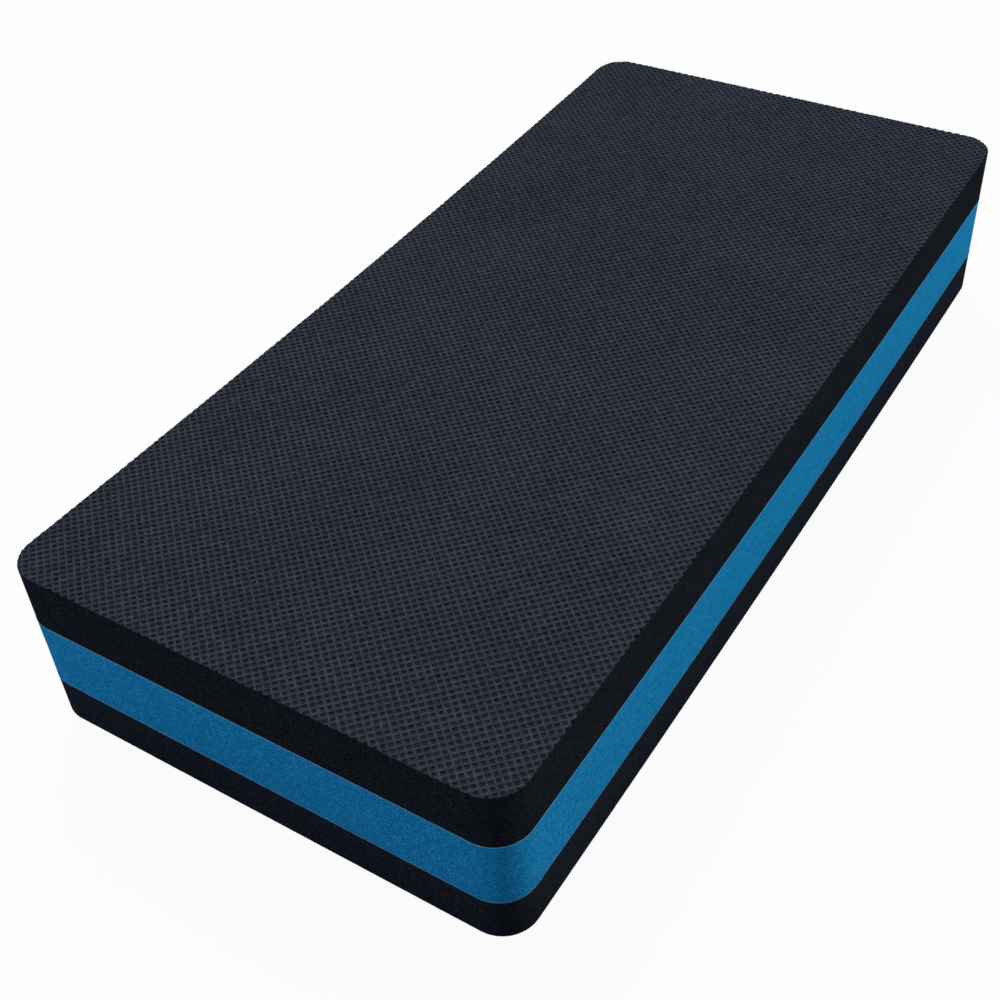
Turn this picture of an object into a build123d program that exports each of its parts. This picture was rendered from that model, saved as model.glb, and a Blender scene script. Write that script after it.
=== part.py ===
from build123d import *
import os

# Laminated foam balance pad: two black foam slabs glued to a thicker blue slab between them.
# Millimetres. +X runs along the pad's length, +Z is up, and the origin is the centre of the underside.

# The plan is the same for every layer, because the block is glued up first and cut out after.
pad_length = 445.0
pad_width = 210.0
corner_radius = 14.0  # the four upright corners; the edges round both faces stay sharp

# Thickness of each layer, from the floor up.
bottom_slab_thickness = 20.0
lower_glue_thickness = 0.2
middle_slab_thickness = 30.0
upper_glue_thickness = 0.2
top_slab_thickness = 25.0

layer_stack = [
    ("bottom_slab", bottom_slab_thickness),
    ("lower_glue_film", lower_glue_thickness),
    ("middle_slab", middle_slab_thickness),
    ("upper_glue_film", upper_glue_thickness),
    ("top_slab", top_slab_thickness),
]


def cut_layer(underside, thickness):
    """One layer of the block, with its lower face at the height underside."""
    outline = RectangleRounded(pad_length, pad_width, corner_radius)
    return extrude(Pos(0, 0, underside) * outline, amount=thickness)


def lay_up(stack):
    """Every layer by name, each lying face to face on the one below it."""
    layers = {}
    underside = 0.0
    for name, thickness in stack:
        layers[name] = cut_layer(underside, thickness)
        underside += thickness
    return layers


os.makedirs("parts", exist_ok=True)
for name, layer in lay_up(layer_stack).items():
    layer.label = name
    export_step(layer, f"parts/{name}.step")
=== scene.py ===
import math
import random

import bmesh
import bpy
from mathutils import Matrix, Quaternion, Vector


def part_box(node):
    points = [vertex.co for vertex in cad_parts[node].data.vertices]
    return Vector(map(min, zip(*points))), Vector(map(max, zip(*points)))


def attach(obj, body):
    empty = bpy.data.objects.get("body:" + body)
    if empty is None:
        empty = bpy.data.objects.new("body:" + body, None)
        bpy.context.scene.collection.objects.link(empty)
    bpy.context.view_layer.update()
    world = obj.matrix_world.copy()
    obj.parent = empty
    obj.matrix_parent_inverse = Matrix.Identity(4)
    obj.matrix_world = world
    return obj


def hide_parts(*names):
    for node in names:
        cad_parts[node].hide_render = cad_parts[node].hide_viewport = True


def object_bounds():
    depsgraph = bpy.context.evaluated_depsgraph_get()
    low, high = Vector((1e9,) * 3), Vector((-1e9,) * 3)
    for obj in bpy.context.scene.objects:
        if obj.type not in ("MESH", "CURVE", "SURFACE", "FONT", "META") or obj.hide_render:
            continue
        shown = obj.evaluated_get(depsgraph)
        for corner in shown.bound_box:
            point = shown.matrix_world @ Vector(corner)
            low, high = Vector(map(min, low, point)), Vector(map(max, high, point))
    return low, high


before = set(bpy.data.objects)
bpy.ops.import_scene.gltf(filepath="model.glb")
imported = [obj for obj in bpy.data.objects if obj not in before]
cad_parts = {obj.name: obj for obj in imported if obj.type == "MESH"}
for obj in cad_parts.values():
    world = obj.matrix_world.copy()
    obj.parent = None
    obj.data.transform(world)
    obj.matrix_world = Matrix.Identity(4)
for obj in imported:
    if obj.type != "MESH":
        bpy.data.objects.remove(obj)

# A laminated foam balance pad: two black slabs with an embossed skin, and a thicker blue slab glued between.
# Everything is in metres, in the frame of the CAD model: the length is on X, up is Z, and the origin lies
# under the middle of the pad.
cad_low, cad_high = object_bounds()

PAD_LENGTH = cad_high.x - cad_low.x
PAD_WIDTH = cad_high.y - cad_low.y
PAD_HEIGHT = cad_high.z - cad_low.z

CORNER_RADIUS = 0.014
CORNER_STEPS = 18
TINY = 1e-6  # heights that differ by less than this are the same height
UPRIGHT = 0.5  # a face is an upright side if the up part of its normal is less than this
PARALLEL = 0.9  # two directions are parallel if their cosine is more than this

# The block was cut out square and has since taken a bow: its two ends lie this much above its middle.
BOW_RISE = 0.0032

# The skin's emboss is a square mesh of raised ridges with a sunken pocket in each opening.
MESH_PITCH = 0.00254
MESH_TURN = math.radians(47.4)
MESH_UNEVENNESS = 0.22  # how far each corner of the mesh strays, as a share of the emboss
MESH_SEED = 5
CROSSING_EDGES = 8  # how many edges meet where two ridges cross
TOP_EMBOSS = 0.00060
UNDERSIDE_EMBOSS = 0.00015
# How wide each part of a pocket's side is, and its share of the fall. On top, a rounded crown leads to a
# steep wall.
TOP_POCKET = ((0.00034, 0.14), (0.00030, 0.86))
UNDERSIDE_POCKET = ((0.00060, 1.0),)
# The ridges of one direction dip between crossings, by this share of the emboss.
TOP_SAG = 0.3
UNDERSIDE_SAG = 0
RIDGE_HEIGHT = "ridge_height"  # a point attribute: 1 along the crest of each ridge, 0 on a pocket's floor
POCKET_HEIGHT = 0.5  # a face whose mean ridge height is below this belongs to a pocket

# Round the rim of an embossed face, the cut wall starts with a narrow torn band.
RIM_BAND = 0.0012
SKIN_DEPTH = RIM_BAND * 0.8  # the skin lies above this depth, and only cut foam lies below it
CUT_TOLERANCE = 0.00003  # a vertex no further inside the outline than this lies on the cut
TOP_TEAR = 0.00028
UNDERSIDE_TEAR = 0.00008
TEAR_SEED = 11
DEPTH_LEFT = 0.4  # the share of its depth that a pocket keeps where the cut opens it
INWARD_TEAR = 0.5  # the rim is torn inwards by up to this share of what it is torn down
TORN_MARGIN = 0.0004  # pockets cut open this close to the rim show bare foam

# The cut sides of the blue slab and of the glue are divided this finely along their length.
SIDE_STEP = 0.003
# For each of them: the height of a row, how far it strays, and the size of a ripple.
CORE_SIDES = (0.003, 0.0002, 0.010)
FILM_SIDES = (0.001, 0.00006, 0.004)

GLUE_THICKNESS = 0.0002
BEAD_HEIGHT = 0.00038
BEAD_REACH = 0.00010  # how far the bead of glue stands out from the foam


# ---- Working by hand ----

def deselect_everything():
    if bpy.context.mode != "OBJECT":
        bpy.ops.object.mode_set(mode="OBJECT")
    bpy.ops.object.select_all(action="DESELECT")


def work_on(piece):
    """Opens one piece in edit mode."""
    deselect_everything()
    piece.select_set(True)
    bpy.context.view_layer.objects.active = piece
    bpy.ops.object.mode_set(mode="EDIT")


def pick(kind, wanted):
    """In edit mode, selects the faces, edges or vertices of the active piece for which wanted(item) is true."""
    bpy.ops.mesh.select_mode(type=kind)
    bpy.ops.mesh.select_all(action="DESELECT")
    mesh = bmesh.from_edit_mesh(bpy.context.object.data)
    items = {"FACE": mesh.faces, "EDGE": mesh.edges, "VERT": mesh.verts}[kind]
    for item in items:
        if wanted(item):
            item.select_set(True)
    bpy.context.object.data.update()


def apply_modifier(piece, kind, **settings):
    deselect_everything()
    piece.select_set(True)
    bpy.context.view_layer.objects.active = piece
    modifier = piece.modifiers.new(kind.lower(), kind)
    for setting, value in settings.items():
        setattr(modifier, setting, value)
    bpy.ops.object.modifier_apply(modifier=modifier.name)


def run_of(edge):
    """The vector from one end of an edge to the other."""
    return edge.verts[1].co - edge.verts[0].co


# ---- The outline that the glued block is cut out to ----

def cut_block(name, underside, top):
    """A block of the pad's plan between two heights, its four upright edges rounded."""
    deselect_everything()
    bpy.ops.mesh.primitive_cube_add(size=1, location=(0, 0, (underside + top) / 2))
    block = bpy.context.object
    block.name = name
    bpy.ops.transform.resize(value=(PAD_LENGTH, PAD_WIDTH, top - underside))
    bpy.ops.object.transform_apply(location=True, rotation=True, scale=True)
    work_on(block)
    pick("EDGE", lambda edge: abs(run_of(edge).z) > TINY)
    bpy.ops.mesh.bevel(offset=CORNER_RADIUS, segments=CORNER_STEPS, affect="EDGES", profile=0.5)
    deselect_everything()
    return block


def cutting_planes():
    """A point and the outward direction of each side face of the pad, straight sides first."""
    block = cut_block("outline", 0.0, PAD_HEIGHT)
    sides = [face for face in block.data.polygons if abs(face.normal.z) < UPRIGHT]
    sides.sort(key=lambda face: -face.area)
    planes = [(face.center.copy(), face.normal.copy()) for face in sides]
    bpy.data.objects.remove(block)
    return planes[:4], planes[4:]


STRAIGHT_CUTS, CORNER_CUTS = cutting_planes()


def cut_away(planes):
    """Trims the whole visible mesh in edit mode at each plane, and drops what lies outside."""
    for place, outward in planes:
        bpy.ops.mesh.select_all(action="SELECT")
        bpy.ops.mesh.bisect(plane_co=place, plane_no=outward, clear_outer=True, threshold=1e-7)


def cut_sheet_to_outline():
    """Trims the sheet in edit mode along the straight sides, then round each corner."""
    cut_away(STRAIGHT_CUTS)
    inner_x = PAD_LENGTH / 2 - CORNER_RADIUS - MESH_PITCH
    inner_y = PAD_WIDTH / 2 - CORNER_RADIUS - MESH_PITCH
    for end in (-1, 1):
        for side in (-1, 1):
            def in_corner(face):
                middle = face.calc_center_median()
                return middle.x * end > inner_x and middle.y * side > inner_y

            pick("FACE", in_corner)
            bpy.ops.mesh.hide(unselected=True)
            cut_away([(place, out) for place, out in CORNER_CUTS if out.x * end > 0 and out.y * side > 0])
            bpy.ops.mesh.reveal(select=False)


# ---- Slabs and glue ----

def outward_from_pad(place):
    """How far a place lies outside the pad's outline (negative inside), and which way is out."""
    inner_x = max(-PAD_LENGTH / 2 + CORNER_RADIUS, min(PAD_LENGTH / 2 - CORNER_RADIUS, place.x))
    inner_y = max(-PAD_WIDTH / 2 + CORNER_RADIUS, min(PAD_WIDTH / 2 - CORNER_RADIUS, place.y))
    away = Vector((place.x - inner_x, place.y - inner_y, 0))
    return away.length - CORNER_RADIUS, away.normalized()


def tear_rim(slab, face_level, inward, tear):
    """The cut drags the rim of the skin nearly level and leaves it ragged, down and in by uneven amounts."""
    chance = random.Random(TEAR_SEED)
    for vertex in slab.data.vertices:
        depth = abs(vertex.co.z - face_level)
        outside, out = outward_from_pad(vertex.co)
        if depth > SKIN_DEPTH or outside < -CUT_TOLERANCE:
            continue
        vertex.co.z = face_level + inward * (DEPTH_LEFT * depth + tear * chance.random())
        vertex.co -= out * (INWARD_TEAR * tear * chance.random())


def dip_ridges(face_level, drop):
    """In edit mode, lowers the ridges of one direction half way between their crossings."""
    along = Vector((math.cos(MESH_TURN), math.sin(MESH_TURN), 0))

    def on_crest(vertex):
        return abs(vertex.co.z - face_level) < TINY

    def on_ridge(edge):
        both_on_crest = on_crest(edge.verts[0]) and on_crest(edge.verts[1])
        return both_on_crest and abs(run_of(edge).normalized().dot(along)) > PARALLEL

    pick("EDGE", on_ridge)
    bpy.ops.mesh.subdivide(number_cuts=1)
    pick("VERT", lambda vertex: on_crest(vertex) and len(vertex.link_edges) < CROSSING_EDGES)
    bpy.ops.transform.translate(value=(0, 0, drop))


def embossed_slab(name, face_level, back_level, emboss, pocket, sag, tear):
    """A foam slab whose face, at face_level, has the mesh of ridges, and whose back is plain."""
    turn_over = face_level < back_level
    inward = 1 if turn_over else -1
    cells = math.ceil((PAD_LENGTH * math.sin(MESH_TURN) + PAD_WIDTH * math.cos(MESH_TURN)) / MESH_PITCH) + 2
    deselect_everything()
    bpy.ops.mesh.primitive_grid_add(
        x_subdivisions=cells, y_subdivisions=cells, size=cells * MESH_PITCH,
        location=(0, 0, face_level), rotation=(math.pi if turn_over else 0, 0, MESH_TURN))
    slab = bpy.context.object
    slab.name = name
    bpy.ops.object.transform_apply(location=True, rotation=True, scale=True)
    work_on(slab)

    def beyond_pad(face):
        middle = face.calc_center_median()
        return abs(middle.x) > PAD_LENGTH / 2 + MESH_PITCH or abs(middle.y) > PAD_WIDTH / 2 + MESH_PITCH

    pick("FACE", beyond_pad)
    bpy.ops.mesh.delete(type="FACE")
    # Each opening of the mesh is sunk as one pocket, so what is left between two pockets is a ridge.
    bpy.ops.mesh.select_all(action="SELECT")
    for width, share in pocket:
        bpy.ops.mesh.inset(thickness=width, depth=-share * emboss, use_individual=True)
    bpy.ops.mesh.select_mode(type="EDGE")
    bpy.ops.mesh.mark_sharp()
    if sag:
        dip_ridges(face_level, inward * sag * emboss)
    bpy.ops.mesh.select_all(action="SELECT")
    bpy.ops.transform.vertex_random(offset=MESH_UNEVENNESS * emboss, uniform=0.5, normal=0.0, seed=MESH_SEED)
    cut_sheet_to_outline()
    # The cut walls hang from the trimmed rim, through a narrow torn band, down to the slab's plain back.
    pick("EDGE", lambda edge: edge.is_boundary)
    bpy.ops.mesh.mark_sharp()
    for level in (face_level + inward * RIM_BAND, back_level):
        bpy.ops.mesh.extrude_region_move(TRANSFORM_OT_translate={"value": (0, 0, inward * RIM_BAND)})
        bpy.ops.transform.resize(value=(1, 1, 0), center_override=(0, 0, level))
    bpy.ops.mesh.mark_sharp()
    bpy.ops.mesh.edge_face_add()
    bpy.ops.mesh.select_all(action="SELECT")
    bpy.ops.mesh.normals_make_consistent(inside=False)
    deselect_everything()
    slab.select_set(True)
    bpy.ops.object.shade_smooth()
    tear_rim(slab, face_level, inward, tear)
    height = slab.data.attributes.new(RIDGE_HEIGHT, "FLOAT", "POINT")
    for vertex, value in zip(slab.data.vertices, height.data):
        value.value = max(0.0, 1.0 - abs(vertex.co.z - face_level) / emboss)
    return slab


def plain_slab(name, underside, top, row_height, ripple, ripple_size):
    """A slab or film with cut sides only, divided into small rows that lie very slightly uneven."""
    slab = cut_block(name, underside, top)
    work_on(slab)
    pick("EDGE", lambda edge: abs(run_of(edge).z) < TINY)
    bpy.ops.mesh.mark_sharp()
    # Only the long edges of the straight sides are divided, not those round the corners.
    for direction, length in ((Vector((1, 0, 0)), PAD_LENGTH), (Vector((0, 1, 0)), PAD_WIDTH)):
        pick("EDGE", lambda edge: abs(run_of(edge).dot(direction)) > CORNER_RADIUS)
        bpy.ops.mesh.subdivide(number_cuts=round((length - 2 * CORNER_RADIUS) / SIDE_STEP))
    rows = round((top - underside) / row_height)
    if rows > 1:
        pick("EDGE", lambda edge: abs(run_of(edge).z) > TINY)
        bpy.ops.mesh.subdivide(number_cuts=rows - 1)
    deselect_everything()
    # A slab's rims stay true, and a film, which has no rows between its rims, strays as a whole.
    sides = slab.vertex_groups.new(name="sides")
    margin = row_height / 2 if rows > 1 else -row_height
    loose = [vertex.index for vertex in slab.data.vertices if underside + margin < vertex.co.z < top - margin]
    sides.add(loose, 1.0, "REPLACE")
    ripples = bpy.data.textures.new(name + "_ripples", "CLOUDS")
    ripples.noise_scale = ripple_size
    apply_modifier(
        slab, "DISPLACE", texture=ripples, texture_coords="LOCAL", strength=ripple,
        mid_level=0.5, vertex_group="sides")
    slab.vertex_groups.clear()
    slab.select_set(True)
    bpy.ops.object.shade_smooth()
    return slab


def squeeze_out(film):
    """The film's rim stands a little proud of the foam, as a bead of glue."""
    work_on(film)
    pick("FACE", lambda face: abs(face.normal.z) < UPRIGHT)
    bpy.ops.mesh.extrude_region_shrink_fatten(TRANSFORM_OT_shrink_fatten={"value": BEAD_REACH})
    film_low = min(vertex.co.z for vertex in bmesh.from_edit_mesh(film.data).verts)
    bpy.ops.transform.resize(
        value=(1, 1, BEAD_HEIGHT / GLUE_THICKNESS),
        center_override=(0, 0, film_low + GLUE_THICKNESS / 2))
    deselect_everything()


def take_bow(piece):
    """Raises the piece towards both ends of the pad, so that every layer follows the same shallow curve."""
    for vertex in piece.data.vertices:
        share = vertex.co.x / (PAD_LENGTH / 2)
        vertex.co.z += BOW_RISE * share * share


# ---- Finishes ----

def new_group(name, inputs, outputs):
    """An empty node group with these sockets, and its input and output nodes."""
    group = bpy.data.node_groups.new(name, "ShaderNodeTree")
    for socket, kind, value in inputs:
        made = group.interface.new_socket(socket, in_out="INPUT", socket_type=kind)
        if value is not None:
            made.default_value = value
    for socket, kind in outputs:
        group.interface.new_socket(socket, in_out="OUTPUT", socket_type=kind)
    start = group.nodes.new("NodeGroupInput")
    end = group.nodes.new("NodeGroupOutput")
    return group, start, end


def add(tree, kind, **settings):
    node = tree.nodes.new(kind)
    for setting, value in settings.items():
        setattr(node, setting, value)
    return node


def noise(tree, vector, scale, detail, roughness=0.5):
    node = add(tree, "ShaderNodeTexNoise")
    node.inputs["Scale"].default_value = scale
    node.inputs["Detail"].default_value = detail
    node.inputs["Roughness"].default_value = roughness
    tree.links.new(vector, node.inputs["Vector"])
    return node.outputs["Fac"]


def spread(tree, value, low, high, to_low=0.0, to_high=1.0):
    """Stretches the range low to high of a value onto to_low to to_high, and holds it there."""
    node = add(tree, "ShaderNodeMapRange", clamp=True)
    tree.links.new(value, node.inputs["Value"])
    for socket, number in zip(("From Min", "From Max", "To Min", "To Max"), (low, high, to_low, to_high)):
        node.inputs[socket].default_value = number
    return node.outputs["Result"]


def maths(tree, operation, first, second):
    node = add(tree, "ShaderNodeMath", operation=operation)
    for socket, value in zip(node.inputs, (first, second)):
        if isinstance(value, (int, float)):
            socket.default_value = value
        else:
            tree.links.new(value, socket)
    return node.outputs[0]


def blend(tree, factor, first, second):
    """Mixes two colours, each given as a tuple or as a socket."""
    node = add(tree, "ShaderNodeMix", data_type="RGBA")
    tree.links.new(factor, node.inputs[0])
    for socket, colour in ((node.inputs[6], first), (node.inputs[7], second)):
        if isinstance(colour, tuple):
            socket.default_value = (*colour, 1.0)
        else:
            tree.links.new(colour, socket)
    return node.outputs[2]


def make_foam_cells():
    """The tiny cut cells of a foam face: how light each cell looks, and a height for the bump."""
    group, start, end = new_group(
        "foam_cells",
        [("Vector", "NodeSocketVector", None), ("Per Metre", "NodeSocketFloat", 1500.0)],
        [("Lightness", "NodeSocketFloat"), ("Height", "NodeSocketFloat")])
    cells = add(group, "ShaderNodeTexVoronoi", feature="F1")
    group.links.new(start.outputs["Vector"], cells.inputs["Vector"])
    group.links.new(start.outputs["Per Metre"], cells.inputs["Scale"])
    tilt = add(group, "ShaderNodeSeparateColor")
    group.links.new(cells.outputs["Color"], tilt.inputs["Color"])
    walls = spread(group, cells.outputs["Distance"], low=0.1, high=0.75)
    grit = add(group, "ShaderNodeTexNoise")
    grit.inputs["Detail"].default_value = 3.0
    group.links.new(start.outputs["Vector"], grit.inputs["Vector"])
    group.links.new(start.outputs["Per Metre"], grit.inputs["Scale"])
    both = maths(group, "ADD", tilt.outputs["Red"], walls)
    lightness = maths(group, "MULTIPLY", both, 0.5)
    height = maths(group, "ADD", maths(group, "MULTIPLY", walls, 0.6), grit.outputs["Fac"])
    group.links.new(lightness, end.inputs["Lightness"])
    group.links.new(height, end.inputs["Height"])
    return group


SLOW_SHARE = 0.24  # how strong the slow changes of tone are beside the quick ones
NOISE_MIDDLE = 0.5


def make_tone_drift():
    """Slow and quick changes of tone over a surface, as a factor about 1."""
    group, start, end = new_group(
        "tone_drift",
        [("Vector", "NodeSocketVector", None), ("Amount", "NodeSocketFloat", 0.1)],
        [("Factor", "NodeSocketFloat")])
    vector = start.outputs["Vector"]
    slow = noise(group, vector, scale=22.0, detail=2.0)
    quick = noise(group, vector, scale=520.0, detail=3.0, roughness=0.7)
    both = maths(group, "ADD", maths(group, "MULTIPLY", slow, SLOW_SHARE), quick)
    centred = maths(group, "SUBTRACT", both, NOISE_MIDDLE * (1 + SLOW_SHARE))
    scaled = maths(group, "MULTIPLY", centred, start.outputs["Amount"])
    factor = maths(group, "ADD", scaled, 1.0)
    group.links.new(factor, end.inputs["Factor"])
    return group


FOAM_CELLS = make_foam_cells()
TONE_DRIFT = make_tone_drift()


def new_finish(name, specular, roughness):
    material = bpy.data.materials.new(name)
    material.use_nodes = True
    tree = material.node_tree
    shader = tree.nodes["Principled BSDF"]
    shader.inputs["Specular IOR Level"].default_value = specular
    shader.inputs["Roughness"].default_value = roughness
    place = add(tree, "ShaderNodeTexCoord").outputs["Object"]
    return material, tree, shader, place


def use_group(tree, group, place, **values):
    node = add(tree, "ShaderNodeGroup", node_tree=group)
    tree.links.new(place, node.inputs["Vector"])
    for socket, value in values.items():
        node.inputs[socket.replace("_", " ")].default_value = value
    return node


def scaled_colour(tree, colour, factor):
    """The colour multiplied by a changing factor."""
    scale = add(tree, "ShaderNodeVectorMath", operation="SCALE")
    tree.links.new(colour, scale.inputs[0])
    tree.links.new(factor, scale.inputs["Scale"])
    return scale.outputs[0]


def bumped(tree, shader, height, distance):
    bump = add(tree, "ShaderNodeBump")
    bump.inputs["Distance"].default_value = distance
    bump.inputs["Strength"].default_value = 1.0
    tree.links.new(height, bump.inputs["Height"])
    tree.links.new(bump.outputs["Normal"], shader.inputs["Normal"])


# A cell lighter than the first of these starts to show a fleck, and above the second it shows it in full.
FLECK_RANGE = (0.68, 0.92)
FLECK_SHARE = 0.30  # how much of the fleck's colour shows then


def cut_foam(name, cell_colour, wall_colour, fleck_colour, cells_per_metre, drift, bump_height):
    """A sawn foam face: matt, with fine open cells and a pale fleck where a cell wall stands out."""
    material, tree, shader, place = new_finish(name, specular=0.0, roughness=0.92)
    cells = use_group(tree, FOAM_CELLS, place, Per_Metre=cells_per_metre)
    tone = use_group(tree, TONE_DRIFT, place, Amount=drift)
    speckled = blend(tree, cells.outputs["Lightness"], cell_colour, wall_colour)
    flecks = spread(tree, cells.outputs["Lightness"], *FLECK_RANGE, to_high=FLECK_SHARE)
    speckled = blend(tree, flecks, speckled, fleck_colour)
    tree.links.new(scaled_colour(tree, speckled, tone.outputs["Factor"]), shader.inputs["Base Color"])
    bumped(tree, shader, cells.outputs["Height"], bump_height)
    return material


# One black skin in two colours: the lighter ridge colour is a painted sheen, and the darker pocket colour is
# painted shade in the recesses.
POCKET_PAINTED_SHADE_COLOUR = (0.0240, 0.0293, 0.0412)
RIDGE_PAINTED_SHEEN_COLOUR = (0.0572, 0.0646, 0.0826)
POCKET_ROUGHNESS = 0.8
RIDGE_ROUGHNESS = 0.5


def embossed_skin(name):
    """The moulded skin: smooth ridges with a very faint shine, rougher in the pockets, and one black
    throughout. Its ridges are coloured lighter as a painted sheen, and its pockets darker as painted shade.
    """
    material, tree, shader, place = new_finish(name, specular=0.008, roughness=RIDGE_ROUGHNESS)
    shader.inputs["Specular Tint"].default_value = (0.70, 0.85, 1.0, 1.0)
    crest = add(tree, "ShaderNodeAttribute", attribute_name=RIDGE_HEIGHT).outputs["Fac"]
    ridge = spread(tree, crest, low=0.50, high=1.0)
    tone = use_group(tree, TONE_DRIFT, place, Amount=1.7)
    grain = use_group(tree, FOAM_CELLS, place, Per_Metre=2600.0)
    # Painted sheen on the ridges and painted shade in the pockets, blended by ridge height.
    colour = blend(tree, ridge, POCKET_PAINTED_SHADE_COLOUR, RIDGE_PAINTED_SHEEN_COLOUR)
    tree.links.new(scaled_colour(tree, colour, tone.outputs["Factor"]), shader.inputs["Base Color"])
    roughness = spread(tree, ridge, low=0.0, high=1.0, to_low=POCKET_ROUGHNESS, to_high=RIDGE_ROUGHNESS)
    tree.links.new(roughness, shader.inputs["Roughness"])
    bumped(tree, shader, grain.outputs["Height"], distance=0.00009)
    return material


def dress_slab(slab, face_level, skin, foam):
    """The skin goes on the embossed face, and bare foam on the cut walls, the plain back and torn pockets."""
    slab.data.materials.append(skin)
    slab.data.materials.append(foam)
    height = slab.data.attributes[RIDGE_HEIGHT].data
    vertices = slab.data.vertices
    for face in slab.data.polygons:
        on_skin = max(abs(vertices[index].co.z - face_level) for index in face.vertices) < SKIN_DEPTH
        in_pocket = sum(height[index].value for index in face.vertices) / len(face.vertices) < POCKET_HEIGHT
        torn_open = in_pocket and outward_from_pad(face.center)[0] > -TORN_MARGIN
        face.material_index = 0 if on_skin and not torn_open else 1


# ---- Making the pad ----

levels = {}
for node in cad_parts:
    low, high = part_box(node)
    levels[node] = (low.z, high.z)

blue_cut = cut_foam(
    "cut_blue_foam", cell_colour=(0.0, 0.064, 0.193), wall_colour=(0.0100, 0.224, 0.460),
    fleck_colour=(0.10, 0.30, 0.50), cells_per_metre=2300.0, drift=0.3, bump_height=0.00010)
black_cut = cut_foam(
    "cut_black_foam", cell_colour=(0.0, 0.0004, 0.0009), wall_colour=(0.0120, 0.0157, 0.0205),
    fleck_colour=(0.033, 0.037, 0.042), cells_per_metre=2300.0, drift=0.5, bump_height=0.00010)
# The bottom slab is the same black foam as the top one, given lighter colours as painted bounce light from the
# floor beneath it.
bounce_lit_black_cut = cut_foam(
    "black_foam_painted_floor_bounce", cell_colour=(0.0005, 0.0014, 0.0035), wall_colour=(0.0150, 0.0190, 0.0275),
    fleck_colour=(0.040, 0.045, 0.054), cells_per_metre=2300.0, drift=0.5, bump_height=0.00010)
dried_glue = cut_foam(
    "dried_contact_glue", cell_colour=(0.05, 0.20, 0.39), wall_colour=(0.13, 0.35, 0.56),
    fleck_colour=(0.13, 0.35, 0.56), cells_per_metre=1200.0, drift=0.4, bump_height=0.00005)
black_skin = embossed_skin("embossed_black_skin")

back, face = levels["top_slab"]
embossed_top = embossed_slab("embossed_top_slab", face, back, TOP_EMBOSS, TOP_POCKET, TOP_SAG, TOP_TEAR)
dress_slab(embossed_top, face, black_skin, black_cut)

face, back = levels["bottom_slab"]
embossed_bottom = embossed_slab(
    "embossed_bottom_slab", face, back, UNDERSIDE_EMBOSS, UNDERSIDE_POCKET, UNDERSIDE_SAG, UNDERSIDE_TEAR)
dress_slab(embossed_bottom, face, black_skin, bounce_lit_black_cut)

blue_core = plain_slab("blue_core_slab", *levels["middle_slab"], *CORE_SIDES)
blue_core.data.materials.append(blue_cut)

upper_glue = plain_slab("upper_glue_line", *levels["upper_glue_film"], *FILM_SIDES)
upper_glue.data.materials.append(dried_glue)
lower_glue = plain_slab("lower_glue_line", *levels["lower_glue_film"], *FILM_SIDES)
lower_glue.data.materials.append(dried_glue)
for film in (upper_glue, lower_glue):
    squeeze_out(film)

for piece, node, slot in (
    (embossed_top, "top_slab", "black_foam"),
    (upper_glue, "upper_glue_film", "contact_glue"),
    (blue_core, "middle_slab", "blue_foam"),
    (lower_glue, "lower_glue_film", "contact_glue"),
    (embossed_bottom, "bottom_slab", "black_foam"),
):
    take_bow(piece)
    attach(piece, "root")
    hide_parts(node)


# ---- Floor, light and camera ----

def white_to_camera(tree, shader, white_share):
    """Mixes in this share of plain white for rays that show the background, and for no others."""
    path = add(tree, "ShaderNodeLightPath")
    seen = maths(tree, "MAXIMUM", path.outputs["Is Camera Ray"], path.outputs["Is Glossy Ray"])
    seen = maths(tree, "MAXIMUM", seen, path.outputs["Is Transmission Ray"])
    share = maths(tree, "MULTIPLY", seen, white_share)
    white = add(tree, "ShaderNodeEmission")
    mixed = add(tree, "ShaderNodeMixShader")
    tree.links.new(share, mixed.inputs[0])
    tree.links.new(shader, mixed.inputs[1])
    tree.links.new(white.outputs[0], mixed.inputs[2])
    return mixed.outputs[0]


deselect_everything()
bpy.ops.mesh.primitive_plane_add(size=16.0, location=(0, 0, 0))
floor = bpy.context.object
floor.name = "floor"
paper = bpy.data.materials.new("white_floor")
paper.use_nodes = True
paper_shader = paper.node_tree.nodes["Principled BSDF"]
paper_shader.inputs["Base Color"].default_value = (0.90, 0.90, 0.90, 1.0)
paper_shader.inputs["Roughness"].default_value = 0.9
paper_shader.inputs["Specular IOR Level"].default_value = 0.1
paper_out = paper.node_tree.nodes["Material Output"]
# A small share of the floor's own shading is left in, so that it keeps a faint shadow of the pad.
seen_paper = white_to_camera(paper.node_tree, paper_shader.outputs[0], 0.95)
paper.node_tree.links.new(seen_paper, paper_out.inputs["Surface"])
floor.data.materials.append(paper)

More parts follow.
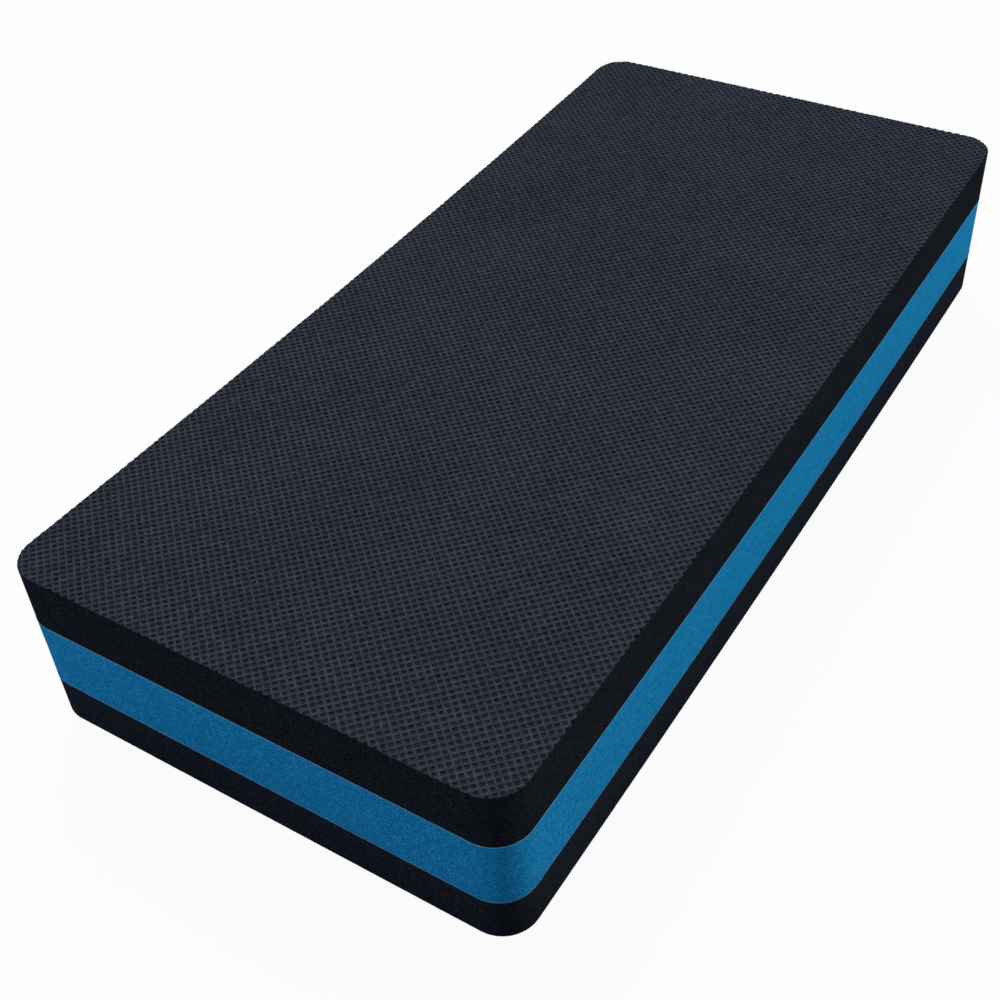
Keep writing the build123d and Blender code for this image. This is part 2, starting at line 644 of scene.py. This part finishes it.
world = bpy.data.worlds.new("studio")
bpy.context.scene.world = world
world.use_nodes = True
room = world.node_tree.nodes["Background"]
room.inputs["Color"].default_value = (0.93, 0.97, 1.05, 1.0)
room.inputs["Strength"].default_value = 0.18
seen_room = white_to_camera(world.node_tree, room.outputs[0], 1.0)
world.node_tree.links.new(seen_room, world.node_tree.nodes["World Output"].inputs["Surface"])


LAMP_AIM = Vector((0, 0, 0.05))


def soft_lamp(name, place, width, height, power, colour):
    """A rectangular lamp that faces the pad."""
    lamp = bpy.data.lights.new(name, "AREA")
    lamp.shape = "RECTANGLE"
    lamp.size = width
    lamp.size_y = height
    lamp.energy = power
    lamp.color = colour
    stand = bpy.data.objects.new(name, lamp)
    bpy.context.scene.collection.objects.link(stand)
    stand.location = place
    stand.rotation_mode = "QUATERNION"
    stand.rotation_quaternion = (LAMP_AIM - Vector(place)).to_track_quat("-Z", "Y")


# A large high lamp lights the face, and two low strips light the cut sides without reaching into the pockets.
soft_lamp("back_lamp", (4.03, 3.61, 7.14), width=3.9, height=3.9, power=562.0, colour=(0.97, 0.99, 1.04))
soft_lamp("left_lamp", (-3.15, 2.46, 0.16), width=1.2, height=0.28, power=57.0, colour=(0.93, 0.97, 1.08))
soft_lamp("right_lamp", (2.46, -3.15, 0.16), width=1.2, height=0.28, power=121.0, colour=(1.0, 1.0, 0.93))

CAMERA_PLACE = Vector((-0.42588, -0.25253, 0.42744))
AIM_POINT = Vector((-0.10546, -0.02970, 0.07540))
CAMERA_ROLL = math.radians(-4.11)

lens = bpy.data.cameras.new("camera")
lens.sensor_width = 36.0
lens.lens = 52.05
lens.clip_start = 0.01
lens.clip_end = 50.0
camera = bpy.data.objects.new("camera", lens)
bpy.context.scene.collection.objects.link(camera)
camera.location = CAMERA_PLACE
camera.rotation_mode = "QUATERNION"
level_view = (AIM_POINT - CAMERA_PLACE).to_track_quat("-Z", "Y")
camera.rotation_quaternion = level_view @ Quaternion((0, 0, 1), CAMERA_ROLL)
bpy.context.scene.camera = camera

bpy.context.scene.view_settings.view_transform = "Standard"
